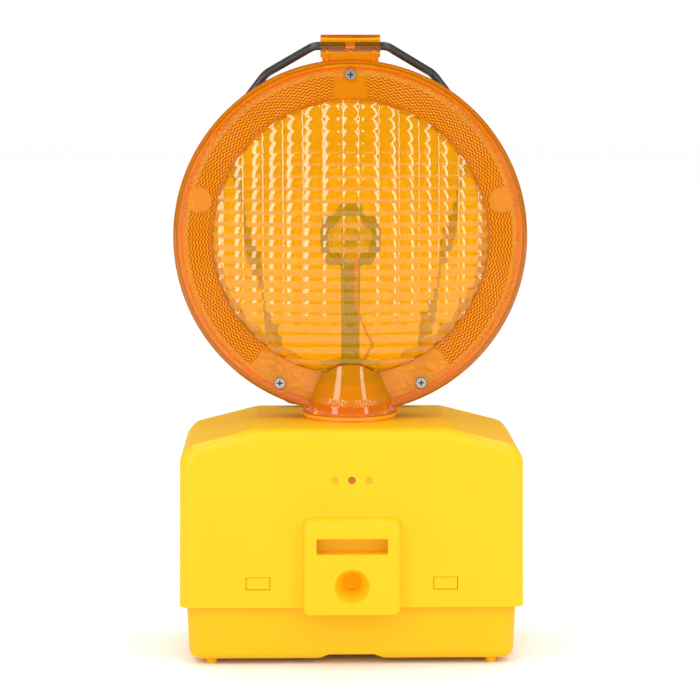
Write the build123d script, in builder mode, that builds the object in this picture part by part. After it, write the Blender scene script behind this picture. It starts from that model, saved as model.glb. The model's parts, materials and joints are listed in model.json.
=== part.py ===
from build123d import *
import math
import os

# Barricade warning light: an amber two-faced lens head with a rod bail, standing on a battery
# case made of a lift-off hood and a tray. Millimetres, +Z up, the first lens face looks along -Y,
# the origin lies on the ground under the middle of the case.

os.makedirs("parts", exist_ok=True)

# ---- Driving dimensions ----
# Case
CASE_DEPTH = 98.0
CORNER_R = 8.0
WALL = 2.6
FOOT_H = 3.0
FOOT_R = 3.0
FOOT_X, FOOT_Y = 75.0, 36.0
TRAY_W, TRAY_D = 173.6, 88.0
TRAY_DRAFT = 2.6
HOOD_Z0 = 32.6
HOOD_HALF_W = 91.7
ROOF_Z = 128.0
ROOF_HALF_W = 51.0
SHOULDER_HALF_W, SHOULDER_Z = 85.5, 119.3
CORNER_HALF_W, CORNER_Z = 91.0, 112.5
OUTLINE_R, EDGE_R = 9.0, 7.0
UPSTAND_Z = 50.0
LEDGE_Z = 51.5
BOSS_W, BOSS_FOOT_Z, BOSS_TOP_Z, BOSS_OUT = 52.0, 30.4, 82.0, 8.0
BOSS_EDGE_R, BOSS_ROOT_R = 4.0, 2.5
SLOT_W, SLOT_H, SLOT_Z, SLOT_DEPTH = 37.7, 8.4, 66.9, 8.6
BOLT_Z, BOLT_R = 45.6, 4.25
RECESS_R, RECESS_DEPTH = 9.2, 11.3
WINDOW_W, WINDOW_H, WINDOW_X, WINDOW_Z = 13.0, 6.9, 49.8, 45.6
EYE_R, EYE_PITCH, EYE_Z = 2.0, 9.0, 101.1
# Batteries: 6 V lantern blocks
BATTERY_W, BATTERY_H = 67.0, 102.0
BATTERY_X, BATTERY_Y = 42.5, 7.5
TERMINAL_OFFSET = 22.0
# Lens head
LENS_R, LENS_Z = 95.0, 226.5
OPTIC_R, STEP_R = 74.0, 91.5
DOME_OUT, OPTIC_EDGE_OUT, BAND_OUT, RIM_OUT = 32.0, 14.0, 12.6, 13.6
LENS_WALL = 2.4
PARTING_GAP = 0.5
SCREW_RING_R = 87.0
SCREW_ANGLES = (90, 244, 296)
PEG_RING_R, PEG_ANGLES = 83.7, (14, 166)
NECK_BASE_R, NECK_BASE_Z, NECK_BASE_H = 26.0, 131.3, 5.7
NECK_LOW_R, NECK_TOP_R, NECK_TOP_Z = 26.0, 15.0, 167.0
TURRET_R = 15.0
TUBE_L, TUBE_R, TUBE_Y, TUBE_Z = 31.8, 6.05, -6.8, 328.6
ROD_R = 2.25
LED_Z = 225.0

CASE_Y = CASE_DEPTH / 2
INNER_Y = CASE_Y - WALL
FLOOR_Z = FOOT_H + 2.5
BATTERY_Z1 = FLOOR_Z + BATTERY_H
CEILING_Z = ROOF_Z - WALL
PLATE_Z0, PLATE_T = 119.3, 2.0
BOARD_Y, BOARD_T = -41.6, 1.6
TRAY_TOP_GROWTH = 2 * (HOOD_Z0 - FOOT_H) * math.tan(math.radians(TRAY_DRAFT))
FRONT, BACK = -1, 1
LEFT, RIGHT = -1, 1


# ---- Shared shapes ----
def front_plane(y):
    """Plane seen from the front: local x to the right, local y up, normal towards -Y."""
    return Plane(origin=(0, y, 0), x_dir=(1, 0, 0), z_dir=(0, -1, 0))


def hood_outline(inset):
    """Points of the hood's front view, moved inwards by inset."""
    return [
        (-HOOD_HALF_W + inset, HOOD_Z0),
        (HOOD_HALF_W - inset, HOOD_Z0),
        (CORNER_HALF_W - inset, CORNER_Z - inset / 2),
        (SHOULDER_HALF_W - inset / 2, SHOULDER_Z - inset),
        (ROOF_HALF_W, ROOF_Z - inset),
        (-ROOF_HALF_W, ROOF_Z - inset),
        (-SHOULDER_HALF_W + inset / 2, SHOULDER_Z - inset),
        (-CORNER_HALF_W + inset, CORNER_Z - inset / 2),
    ]


def bent_rod(points, bends, rod_r):
    """A round rod or wire along straight runs joined by arcs."""
    with BuildPart() as rod:
        with BuildLine() as route:
            FilletPolyline(*points, radius=bends)
        with BuildSketch(Plane(origin=route.line @ 0, z_dir=route.line % 0)):
            Circle(rod_r)
        sweep()
    return rod


def on_circle(ring_r, angle, y):
    """A point on a circle round the lens axis, angle counted from +X towards +Z."""
    turn = math.radians(angle)
    return (ring_r * math.cos(turn), y, LENS_Z + ring_r * math.sin(turn))


def along_y(point, facing):
    """Plane at a point whose normal runs along -Y (FRONT) or +Y (BACK)."""
    return Plane(origin=point, x_dir=(1, 0, 0), z_dir=(0, facing, 0))


def cross_screws(planes, head_r, head_h, shank_r, shank_l):
    """Cross-head screws; each plane lies under a head, with its normal out of the head."""
    with BuildPart() as screws:
        for plane in planes:
            with BuildSketch(plane):
                Circle(head_r)
            extrude(amount=head_h)
            with BuildSketch(plane):
                Circle(shank_r)
            extrude(amount=-shank_l)
            with BuildSketch(plane.offset(head_h)):
                Rectangle(1.3 * head_r, 0.3 * head_r)
                Rectangle(0.3 * head_r, 1.3 * head_r)
            extrude(amount=-head_h / 2, mode=Mode.SUBTRACT)
    return screws


# ---- Tray: lower case with feet, battery ribs and the notch under its middle ----
NOTCH_H, NOTCH_TOP_W, NOTCH_FOOT_W, NOTCH_DEPTH = 2.9, 24.4, 36.6, 12.0
UPSTAND_GAP = 27.0
BOTTOM_EDGE_R = 5.0
DIVIDER_X, DIVIDER_T = 7.6, 1.4
STOP_L, STOP_T, RIB_H = 44.0, 1.8, 24.0

with BuildPart() as tray:
    with BuildSketch(Plane.XY.offset(FOOT_H)):
        RectangleRounded(TRAY_W, TRAY_D, CORNER_R)
    extrude(amount=HOOD_Z0 - FOOT_H, taper=-TRAY_DRAFT)
    fillet(tray.faces().sort_by(Axis.Z)[0].edges(), BOTTOM_EDGE_R)
    with BuildSketch(Plane.XY.offset(HOOD_Z0)):
        RectangleRounded(TRAY_W + TRAY_TOP_GROWTH, TRAY_D + TRAY_TOP_GROWTH, CORNER_R)
    extrude(amount=UPSTAND_Z - HOOD_Z0)
    with BuildSketch(Plane.XY.offset(FLOOR_Z)):
        RectangleRounded(TRAY_W - 2 * WALL, TRAY_D - 2 * WALL, CORNER_R - WALL)
    extrude(amount=UPSTAND_Z, mode=Mode.SUBTRACT)
    # Raised floor over the notch, so that the floor stays closed
    with BuildSketch(Plane.XY.offset(FLOOR_Z)):
        with Locations((0, -TRAY_D / 2 + NOTCH_DEPTH / 2 + WALL)):
            Rectangle(NOTCH_FOOT_W + 2 * WALL, NOTCH_DEPTH)
    extrude(amount=NOTCH_H)
    with BuildSketch(front_plane(-TRAY_D / 2 - WALL)):
        with BuildLine():
            Polyline(
                (-NOTCH_FOOT_W / 2, FOOT_H),
                (-NOTCH_TOP_W / 2, FOOT_H + NOTCH_H),
                (NOTCH_TOP_W / 2, FOOT_H + NOTCH_H),
                (NOTCH_FOOT_W / 2, FOOT_H),
                close=True,
            )
        make_face()
    extrude(amount=-NOTCH_DEPTH - WALL, mode=Mode.SUBTRACT)
    # Divider ribs between the batteries and stop ribs in front of them
    for side in (LEFT, RIGHT):
        with BuildSketch(Plane.XY.offset(FLOOR_Z)):
            with Locations((side * DIVIDER_X, BATTERY_Y)):
                Rectangle(DIVIDER_T, BATTERY_W)
            with Locations((side * BATTERY_X, BATTERY_Y - BATTERY_W / 2 - DIVIDER_T)):
                Rectangle(STOP_L, STOP_T)
        extrude(amount=RIB_H)
    # Open notches in the upstand, through which the bolt sleeve drops in
    with BuildSketch(front_plane(CASE_Y)):
        with Locations((0, UPSTAND_Z)):
            Rectangle(UPSTAND_GAP, 2 * (UPSTAND_Z - HOOD_Z0 + 0.4))
    extrude(amount=CASE_DEPTH, mode=Mode.SUBTRACT)
    with BuildSketch(Plane.XY):
        with GridLocations(2 * FOOT_X, 2 * FOOT_Y, 2, 2):
            Circle(FOOT_R)
    extrude(amount=FOOT_H + 1.0)
tray.part.label = "tray"
export_step(tray.part, "parts/tray.step")

# ---- Case gasket: lies on the upstand, open where the bolt sleeve passes ----
with BuildPart() as case_gasket:
    with BuildSketch(Plane.XY.offset(UPSTAND_Z)):
        RectangleRounded(TRAY_W + TRAY_TOP_GROWTH - 0.6, TRAY_D + TRAY_TOP_GROWTH - 0.6, CORNER_R)
        RectangleRounded(TRAY_W - 4.4, TRAY_D - 4.4, CORNER_R - WALL, mode=Mode.SUBTRACT)
        Rectangle(UPSTAND_GAP, 2 * CASE_DEPTH, mode=Mode.SUBTRACT)
    extrude(amount=LEDGE_Z - UPSTAND_Z - 0.1)
case_gasket.part.label = "case_gasket"
export_step(case_gasket.part, "parts/case_gasket.step")

# ---- Hood: upper case with sloping shoulders, bolt boss, slot and three eyes ----
INNER_BOSS_R, SLEEVE_R, SLEEVE_SEAT = 12.0, 6.5, 42.9
TURRET_STUB_R = 15.7
POST_XY = [(side * 47.0, y) for side in (LEFT, RIGHT) for y in (-17.0, 33.0)]
BOARD_POSTS = [(side * 25.0, z) for side in (LEFT, RIGHT) for z in (80.0, 114.0)]
EYE_X = [-EYE_PITCH, 0.0, EYE_PITCH]
LEDGE_OPEN_W = 169.0

with BuildPart() as hood:
    with BuildSketch(front_plane(CASE_Y)):
        with BuildLine():
            Polyline(*hood_outline(0), close=True)
        make_face()
        fillet([v for v in vertices() if v.Y > CORNER_Z - 1], OUTLINE_R)
    extrude(amount=CASE_DEPTH)
    for end_face in (hood.faces().sort_by(Axis.Y)[0], hood.faces().sort_by(Axis.Y)[-1]):
        fillet([e for e in end_face.edges() if e.center().Z > HOOD_Z0 + 1], EDGE_R)
    with BuildPart(mode=Mode.SUBTRACT) as cavity:
        with BuildSketch(front_plane(INNER_Y)):
            with BuildLine():
                Polyline(*hood_outline(WALL), close=True)
            make_face()
            fillet([v for v in vertices() if v.Y > CORNER_Z - WALL - 1], OUTLINE_R - WALL)
        extrude(amount=2 * INNER_Y)
        for end_face in (cavity.faces().sort_by(Axis.Y)[0], cavity.faces().sort_by(Axis.Y)[-1]):
            fillet([e for e in end_face.edges() if e.center().Z > HOOD_Z0 + 1], EDGE_R - WALL)
    # Bosses in front and behind for the fixing bolt, round on top and drawn down over the tray
    for facing in (FRONT, BACK):
        root_y, face_y = facing * (INNER_Y + 0.6), facing * (CASE_Y + BOSS_OUT)
        with BuildPart() as boss:
            with BuildSketch(Plane.YZ.offset(-BOSS_W / 2)):
                with BuildLine():
                    Polyline(
                        (root_y, BOSS_TOP_Z),
                        (root_y, BOSS_FOOT_Z),
                        (face_y, BOSS_FOOT_Z),
                        (face_y, BOSS_TOP_Z - BOSS_OUT),
                    )
                    RadiusArc(
                        (face_y, BOSS_TOP_Z - BOSS_OUT), (facing * CASE_Y, BOSS_TOP_Z), -facing * BOSS_OUT
                    )
                    Line((facing * CASE_Y, BOSS_TOP_Z), (root_y, BOSS_TOP_Z))
                make_face()
            extrude(amount=BOSS_W)
            for side_face in (boss.faces().sort_by(Axis.X)[0], boss.faces().sort_by(Axis.X)[-1]):
                fillet([e for e in side_face.edges() if abs(e.center().Y) > CASE_Y + 1], BOSS_EDGE_R)
        with BuildSketch(along_y((0, facing * SLEEVE_SEAT, BOLT_Z), facing)):
            Circle(INNER_BOSS_R)
        extrude(amount=INNER_Y - SLEEVE_SEAT + 1.0)
    boss_root = [
        edge for edge in hood.edges()
        if abs(abs(edge.center().Y) - CASE_Y) < 0.05
        and abs(edge.center().X) < BOSS_W / 2 + 0.5
        and HOOD_Z0 + 1 < edge.center().Z < BOSS_TOP_Z + 0.5
    ]
    fillet(boss_root, BOSS_ROOT_R)
    with BuildSketch(front_plane(CASE_Y + BOSS_OUT)):
        with Locations((0, BOLT_Z)):
            Circle(BOLT_R)
    extrude(amount=CASE_DEPTH + 2 * BOSS_OUT, mode=Mode.SUBTRACT)
    with BuildSketch(Plane.YZ):
        with BuildLine():
            Polyline(
                (-CASE_Y - BOSS_OUT, BOLT_Z),
                (-CASE_Y - BOSS_OUT, BOLT_Z + RECESS_R),
                (-CASE_Y - BOSS_OUT + RECESS_DEPTH, BOLT_Z + BOLT_R),
                (-CASE_Y - BOSS_OUT + RECESS_DEPTH, BOLT_Z),
                close=True,
            )
        make_face()
    revolve(axis=Axis((0, 0, BOLT_Z), (0, 1, 0)), mode=Mode.SUBTRACT)
    with BuildSketch(front_plane(-CASE_Y - BOSS_OUT)):
        with Locations((0, SLOT_Z)):
            RectangleRounded(SLOT_W, SLOT_H, 0.8)
    extrude(amount=-SLOT_DEPTH, mode=Mode.SUBTRACT)
    # Ledge that rests on the tray's gasket
    with BuildSketch(Plane.XY.offset(LEDGE_Z)):
        RectangleRounded(2 * (HOOD_HALF_W - WALL) + 1.0, 2 * INNER_Y + 1.0, EDGE_R - WALL)
        Rectangle(LEDGE_OPEN_W, 2 * SLEEVE_SEAT, mode=Mode.SUBTRACT)
    extrude(amount=2.5)
    # Windows for the flush plugs and the three eyes
    with BuildSketch(front_plane(-CASE_Y)):
        with Locations((-WINDOW_X, WINDOW_Z), (WINDOW_X, WINDOW_Z)):
            Rectangle(WINDOW_W, WINDOW_H)
        with Locations(*[(x, EYE_Z) for x in EYE_X]):
            Circle(EYE_R)
    extrude(amount=-WALL - 0.1, mode=Mode.SUBTRACT)
    # Posts for the contact plate under the roof and for the control board behind the front wall
    with BuildSketch(Plane.XY.offset(PLATE_Z0 + PLATE_T)):
        with Locations(*POST_XY):
            Circle(3.4)
    extrude(amount=CEILING_Z - PLATE_Z0 - PLATE_T + 0.5)
    with BuildSketch(front_plane(BOARD_Y)):
        with Locations(*BOARD_POSTS):
            Circle(3.0)
    extrude(amount=INNER_Y + BOARD_Y + 0.5)
    with BuildSketch(Plane.XY.offset(PLATE_Z0 + PLATE_T)):
        with Locations(*POST_XY):
            Circle(1.3)
    extrude(amount=4.2, mode=Mode.SUBTRACT)
    with BuildSketch(front_plane(BOARD_Y)):
        with Locations(*BOARD_POSTS):
            Circle(1.3)
    extrude(amount=4.6, mode=Mode.SUBTRACT)
    # Hole in the roof for the turret
    with BuildSketch(Plane.XY.offset(CEILING_Z - 1.0)):
        Circle(TURRET_STUB_R + 0.2)
    extrude(amount=2 * WALL, mode=Mode.SUBTRACT)
hood.part.label = "hood"
export_step(hood.part, "parts/hood.step")

# ---- Window plugs: flush plugs that close the two side windows ----
with BuildPart() as window_plugs:
    with BuildSketch(front_plane(-CASE_Y + 0.15)):
        with Locations((-WINDOW_X, WINDOW_Z), (WINDOW_X, WINDOW_Z)):
            Rectangle(WINDOW_W - 0.5, WINDOW_H - 0.5)
    extrude(amount=-WALL + 0.1)
    fillet(window_plugs.faces().filter_by(Axis.Y).sort_by(Axis.Y)[:2].edges(), 0.4)
window_plugs.part.label = "window_plugs"
export_step(window_plugs.part, "parts/window_plugs.step")

# ---- Light windows: clear plugs in the three eyes ----
with BuildPart() as light_windows:
    with BuildSketch(front_plane(-CASE_Y + 0.4)):
        with Locations(*[(x, EYE_Z) for x in EYE_X]):
            Circle(EYE_R - 0.05)
    extrude(amount=-WALL + 0.5)
light_windows.part.label = "light_windows"
export_step(light_windows.part, "parts/light_windows.step")

# ---- Bolt sleeve: keeps the fixing bolt from crushing the case ----
with BuildPart() as bolt_sleeve:
    with BuildSketch(front_plane(SLEEVE_SEAT - 0.1)):
        with Locations((0, BOLT_Z)):
            Circle(SLEEVE_R)
            Circle(BOLT_R, mode=Mode.SUBTRACT)
    extrude(amount=2 * SLEEVE_SEAT - 0.2)
bolt_sleeve.part.label = "bolt_sleeve"
export_step(bolt_sleeve.part, "parts/bolt_sleeve.step")

# ---- Batteries and their spring terminals ----
SPRING_H, SPRING_LOW_R, SPRING_TOP_R, SPRING_WIRE_R = 11.2, 5.5, 3.0, 0.5
TERMINALS = [(BATTERY_X, BATTERY_Y), (BATTERY_X - TERMINAL_OFFSET, BATTERY_Y - TERMINAL_OFFSET)]


def battery_block(side):
    """A 6 V block cell; side is LEFT or RIGHT."""
    with BuildPart() as block:
        with BuildSketch(Plane.XY.offset(FLOOR_Z)):
            with Locations((side * BATTERY_X, BATTERY_Y)):
                RectangleRounded(BATTERY_W, BATTERY_W, 5.0)
        extrude(amount=BATTERY_H)
        fillet(block.faces().sort_by(Axis.Z)[-1].edges(), 1.5)
    return block


def terminal_springs(side):
    """The two conical terminals of one battery: a foot disc, a coil and a top disc each."""
    coil_h = SPRING_H - 2.0
    lean = -math.degrees(math.atan2(SPRING_LOW_R - SPRING_TOP_R, coil_h))
    with BuildPart() as springs:
        for x, y in TERMINALS:
            foot = (side * x, y, BATTERY_Z1)
            with BuildSketch(Plane.XY.offset(BATTERY_Z1)):
                with Locations((side * x, y)):
                    Circle(SPRING_LOW_R + 1.0)
            extrude(amount=1.2)
            with BuildLine() as coil:
                Helix(2.4, coil_h, SPRING_LOW_R, center=(foot[0], foot[1], foot[2] + 1.0), cone_angle=lean)
            with BuildSketch(Plane(origin=coil.line @ 0, z_dir=coil.line % 0)):
                Circle(SPRING_WIRE_R)
            sweep(is_frenet=True)
            with BuildSketch(Plane.XY.offset(BATTERY_Z1 + SPRING_H - 1.2)):
                with Locations((side * x, y)):
                    Circle(SPRING_TOP_R + 0.6)
            extrude(amount=1.2)
    return springs


battery_left = battery_block(LEFT)
battery_left.part.label = "battery_left"
export_step(battery_left.part, "parts/battery_left.step")
battery_right = battery_block(RIGHT)
battery_right.part.label = "battery_right"
export_step(battery_right.part, "parts/battery_right.step")
battery_left_springs = terminal_springs(LEFT)
battery_left_springs.part.label = "battery_left_springs"
export_step(battery_left_springs.part, "parts/battery_left_springs.step")
battery_right_springs = terminal_springs(RIGHT)
battery_right_springs.part.label = "battery_right_springs"
export_step(battery_right_springs.part, "parts/battery_right_springs.step")

# ---- Contact plate under the roof, with its strips and screws ----
PLATE_W, PLATE_D, PLATE_Y = 106.0, 61.0, 8.0
STRIP_T, STRIP_W = 0.5, 14.0
SOCKET_R = 7.4

with BuildPart() as contact_plate:
    with BuildSketch(Plane.XY.offset(PLATE_Z0)):
        with Locations((0, PLATE_Y)):
            RectangleRounded(PLATE_W, PLATE_D, 4.0)
        Circle(SOCKET_R + 0.1, mode=Mode.SUBTRACT)
        with Locations(*POST_XY):
            Circle(1.6, mode=Mode.SUBTRACT)
    extrude(amount=PLATE_T)
contact_plate.part.label = "contact_plate"
export_step(contact_plate.part, "parts/contact_plate.step")

with BuildPart() as contact_strips:
    with BuildSketch(Plane.XY.offset(PLATE_Z0 - STRIP_T)):
        with Locations(*[(side * x, y) for side in (LEFT, RIGHT) for x, y in TERMINALS]):
            RectangleRounded(STRIP_W, STRIP_W, 1.5)
    extrude(amount=STRIP_T)
contact_strips.part.label = "contact_strips"
export_step(contact_strips.part, "parts/contact_strips.step")

plate_screw_planes = [
    Plane(origin=(x, y, PLATE_Z0), x_dir=(1, 0, 0), z_dir=(0, 0, -1)) for x, y in POST_XY
]
plate_screws = cross_screws(plate_screw_planes, 2.5, 1.6, 1.25, 5.5)
plate_screws.part.label = "plate_screws"
export_step(plate_screws.part, "parts/plate_screws.step")

# ---- Turret: flanged spigot in the roof, with its seal and ring nut ----
FLANGE_Z0, FLANGE_Z1 = ROOF_Z + 1.2, NECK_BASE_Z - 0.3
LIP_Z0, LIP_Z1, LIP_R = 144.0, 147.0, 18.0
TURRET_BORE_R = 9.0
NUT_T = 3.4
STUB_Z = CEILING_Z - NUT_T - 0.2

with BuildPart() as turret:
    with BuildSketch(Plane.XZ):
        with BuildLine():
            Polyline(
                (TURRET_BORE_R, STUB_Z),
                (TURRET_STUB_R, STUB_Z),
                (TURRET_STUB_R, FLANGE_Z0),
                (NECK_BASE_R - 0.5, FLANGE_Z0),
                (NECK_BASE_R - 0.5, FLANGE_Z1),
                (TURRET_R, FLANGE_Z1),
                (TURRET_R, LIP_Z0),
                (LIP_R, LIP_Z0),
                (LIP_R, LIP_Z1 - 1.0),
                (LIP_R - 1.0, LIP_Z1),
                (TURRET_BORE_R, LIP_Z1),
                close=True,
            )
        make_face()
    revolve(axis=Axis.Z)
turret.part.label = "turret"
export_step(turret.part, "parts/turret.step")

with BuildPart() as turret_seal:
    with BuildSketch(Plane.XY.offset(ROOF_Z)):
        Circle(NECK_BASE_R - 1.2)
        Circle(TURRET_STUB_R + 0.2, mode=Mode.SUBTRACT)
    extrude(amount=FLANGE_Z0 - ROOF_Z)
turret_seal.part.label = "turret_seal"
export_step(turret_seal.part, "parts/turret_seal.step")

with BuildPart() as turret_nut:
    with BuildSketch(Plane.XY.offset(CEILING_Z - NUT_T)):
        Circle(21.5)
        with PolarLocations(21.5, 6):
            Rectangle(3.0, 5.0, mode=Mode.SUBTRACT)
        Circle(TURRET_STUB_R + 0.1, mode=Mode.SUBTRACT)
    extrude(amount=NUT_T)
turret_nut.part.label = "turret_nut"
export_step(turret_nut.part, "parts/turret_nut.step")

# ---- Plug socket in the contact plate ----
PLUG_R = 5.0
SOCKET_Z0 = 112.0

with BuildPart() as plug_socket:
    with BuildSketch(Plane.XY.offset(SOCKET_Z0)):
        Circle(SOCKET_R)
    extrude(amount=PLATE_Z0 + PLATE_T - SOCKET_Z0)
    with BuildSketch(Plane.XY.offset(PLATE_Z0 - 1.5)):
        Circle(SOCKET_R + 2.0)
    extrude(amount=1.5)
    with BuildSketch(Plane.XY.offset(SOCKET_Z0 + 2.0)):
        Circle(PLUG_R + 0.4)
    extrude(amount=PLATE_T + PLATE_Z0, mode=Mode.SUBTRACT)
plug_socket.part.label = "plug_socket"
export_step(plug_socket.part, "parts/plug_socket.step")

# ---- Control board behind the front wall, with its components ----
BOARD_BACK_Y = BOARD_Y + BOARD_T
BOARD_W, BOARD_H, BOARD_Z = 60.0, 42.0, 97.0
CHIP_W, CHIP_H, CHIP_T = 10.0, 6.4, 3.4
CAPACITOR_R, CAPACITOR_L = 4.0, 10.5
TRANSISTOR_W, TRANSISTOR_H, TRANSISTOR_T = 10.0, 9.0, 4.4
SENSOR_R, SENSOR_L = 2.5, 2.2
INDICATOR_R, INDICATOR_L = 1.5, 3.8

with BuildPart() as control_board:
    with BuildSketch(front_plane(BOARD_BACK_Y)):
        with Locations((0, BOARD_Z)):
            Rectangle(BOARD_W, BOARD_H)
        with Locations(*BOARD_POSTS):
            Circle(1.5, mode=Mode.SUBTRACT)
    extrude(amount=BOARD_T)
control_board.part.label = "control_board"
export_step(control_board.part, "parts/control_board.step")

board_screws = cross_screws(
    [along_y((x, BOARD_BACK_Y, z), BACK) for x, z in BOARD_POSTS], 2.3, 1.5, 1.2, 5.8
)
board_screws.part.label = "board_screws"
export_step(board_screws.part, "parts/board_screws.step")

with BuildPart() as flasher_chip:
    with BuildSketch(along_y((-12.0, BOARD_BACK_Y, 103.0), BACK)):
        Rectangle(CHIP_W, CHIP_H)
    extrude(amount=CHIP_T)
    fillet(flasher_chip.faces().sort_by(Axis.Y)[-1].edges(), 0.4)
flasher_chip.part.label = "flasher_chip"
export_step(flasher_chip.part, "parts/flasher_chip.step")

with BuildPart() as capacitor:
    with BuildSketch(along_y((-15.0, BOARD_BACK_Y, 87.0), BACK)):
        Circle(CAPACITOR_R)
    extrude(amount=CAPACITOR_L)
    fillet(capacitor.faces().sort_by(Axis.Y)[-1].edges(), 0.8)
capacitor.part.label = "capacitor"
export_step(capacitor.part, "parts/capacitor.step")

with BuildPart() as transistor:
    with BuildSketch(along_y((15.0, BOARD_BACK_Y, 97.0), BACK)):
        Rectangle(TRANSISTOR_W, TRANSISTOR_H)
    extrude(amount=TRANSISTOR_T)
    chamfer(transistor.faces().sort_by(Axis.Y)[-1].edges().filter_by(Axis.Z), 1.2)
transistor.part.label = "transistor"
export_step(transistor.part, "parts/transistor.step")

with BuildPart() as light_sensor:
    with BuildSketch(along_y((0, BOARD_Y, EYE_Z), FRONT)):
        Circle(SENSOR_R)
    extrude(amount=SENSOR_L)
    chamfer(light_sensor.faces().sort_by(Axis.Y)[0].edges(), 0.3)
light_sensor.part.label = "light_sensor"
export_step(light_sensor.part, "parts/light_sensor.step")

with BuildPart() as indicator_leds:
    with BuildSketch(front_plane(BOARD_Y)):
        with Locations((-EYE_PITCH, EYE_Z), (EYE_PITCH, EYE_Z)):
            Circle(INDICATOR_R)
    extrude(amount=INDICATOR_L)
    fillet(indicator_leds.faces().filter_by(Axis.Y).sort_by(Axis.Y)[:2].edges(), 1.3)
indicator_leds.part.label = "indicator_leds"
export_step(indicator_leds.part, "parts/indicator_leds.step")

# ---- Mode switch: body with a slot, and the slider that travels in it ----
SWITCH_X, SWITCH_Z = 4.0, 82.0
SWITCH_W, SWITCH_H, SWITCH_T = 15.0, 6.4, 6.0
SWITCH_TRAVEL, SLIDER_W, SLIDER_H, SLIDER_L = 5.0, 4.0, 2.8, 6.0

with BuildPart() as switch_body:
    with BuildSketch(along_y((SWITCH_X, BOARD_BACK_Y, SWITCH_Z), BACK)):
        Rectangle(SWITCH_W, SWITCH_H)
    extrude(amount=SWITCH_T)
    with BuildSketch(along_y((SWITCH_X, BOARD_BACK_Y + SWITCH_T, SWITCH_Z), BACK)):
        Rectangle(SWITCH_TRAVEL + SLIDER_W + 0.6, SLIDER_H + 0.6)
    extrude(amount=-3.0, mode=Mode.SUBTRACT)
switch_body.part.label = "switch_body"
export_step(switch_body.part, "parts/switch_body.step")

with BuildPart() as switch_slider:
    with BuildSketch(along_y((SWITCH_X - SWITCH_TRAVEL / 2, BOARD_BACK_Y + 3.2, SWITCH_Z), BACK)):
        Rectangle(SLIDER_W, SLIDER_H)
    extrude(amount=SLIDER_L)
    fillet(switch_slider.faces().sort_by(Axis.Y)[-1].edges(), 0.4)
switch_slider.part.label = "switch_slider"
export_step(switch_slider.part, "parts/switch_slider.step")

# ---- Wires inside the case ----
WIRE_R = 0.8


def supply_wire(side):
    """From the front contact strip to the control board."""
    x, y = TERMINALS[1]
    start_y = y - STRIP_W / 2 - 0.1
    points = [
        (side * x, start_y, 118.2),
        (side * x, start_y - 8.0, 118.2),
        (side * (x + 2), BOARD_BACK_Y + 5.0, 111.0),
        (side * (x + 2), BOARD_BACK_Y, 111.0),
    ]
    return bent_rod(points, 2.5, WIRE_R)


def lamp_lead(side):
    """From the plug socket to the control board."""
    points = [
        (side * 3.0, -SOCKET_R + 0.3, 115.0),
        (side * 3.0, -20.0, 115.0),
        (side * 6.0, BOARD_BACK_Y + 7.0, 112.0),
        (side * 6.0, BOARD_BACK_Y, 112.0),
    ]
    return bent_rod(points, 4.0, WIRE_R)


supply_wire_red = supply_wire(RIGHT)
supply_wire_red.part.label = "supply_wire_red"
export_step(supply_wire_red.part, "parts/supply_wire_red.step")
supply_wire_black = supply_wire(LEFT)
supply_wire_black.part.label = "supply_wire_black"
export_step(supply_wire_black.part, "parts/supply_wire_black.step")
lamp_lead_red = lamp_lead(RIGHT)
lamp_lead_red.part.label = "lamp_lead_red"
export_step(lamp_lead_red.part, "parts/lamp_lead_red.step")
lamp_lead_black = lamp_lead(LEFT)
lamp_lead_black.part.label = "lamp_lead_black"
export_step(lamp_lead_black.part, "parts/lamp_lead_black.step")

# ---- Lens head ----
HOLD_Z = 143.6
LEDGE_LOW_Z, LEDGE_HIGH_Z = 148.0, 150.0
BOSS_R, INSERT_R, INSERT_L, LENS_SCREW_R = 4.6, 2.6, 8.0, 1.5
HOLLOW_R = LENS_R - 2.6
SHELF_Z = 153.4
PAD_R, PAD_H = 7.0, 0.6
GUSSET_Z0, GUSSET_D = 319.4, 8.4
GUSSET_RIBS, RIB_Z0, RIB_Y = (-12.5, 0.0, 12.5), 319.8, -12.0


def lens_profile(facing, inset):
    """Half section of one lens face, radius against Y: the dome's arc, then the closing run."""
    edge_r = OPTIC_R - inset / 2
    dome = facing * (DOME_OUT - inset)
    sagitta = DOME_OUT - OPTIC_EDGE_OUT
    ball_r = (edge_r**2 + sagitta**2) / (2 * sagitta)
    mid_r = edge_r / 2
    mid = dome - facing * (ball_r - math.sqrt(ball_r**2 - mid_r**2))
    edge = (edge_r, facing * (OPTIC_EDGE_OUT - inset))
    flange = facing * (BAND_OUT - inset)
    rim = facing * RIM_OUT
    outer_steps = [(STEP_R, flange), (STEP_R, rim), (LENS_R - 1.5, rim), (LENS_R, rim - facing * 1.5)]
    hollow_steps = [(HOLLOW_R - 1.5, flange), (HOLLOW_R, flange - facing * 1.5)]
    steps = outer_steps if inset == 0 else hollow_steps
    end_r = steps[-1][0]
    dome_arc = [(0, dome), (mid_r, mid), edge]
    return dome_arc, [edge, (edge_r, flange), *steps, (end_r, 0), (0, 0), (0, dome)]


def neck_radius(z):
    """Outer radius of the tapering neck."""
    low_z = NECK_BASE_Z + NECK_BASE_H
    return NECK_LOW_R + (NECK_TOP_R - NECK_LOW_R) * (z - low_z) / (NECK_TOP_Z - low_z)


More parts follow.
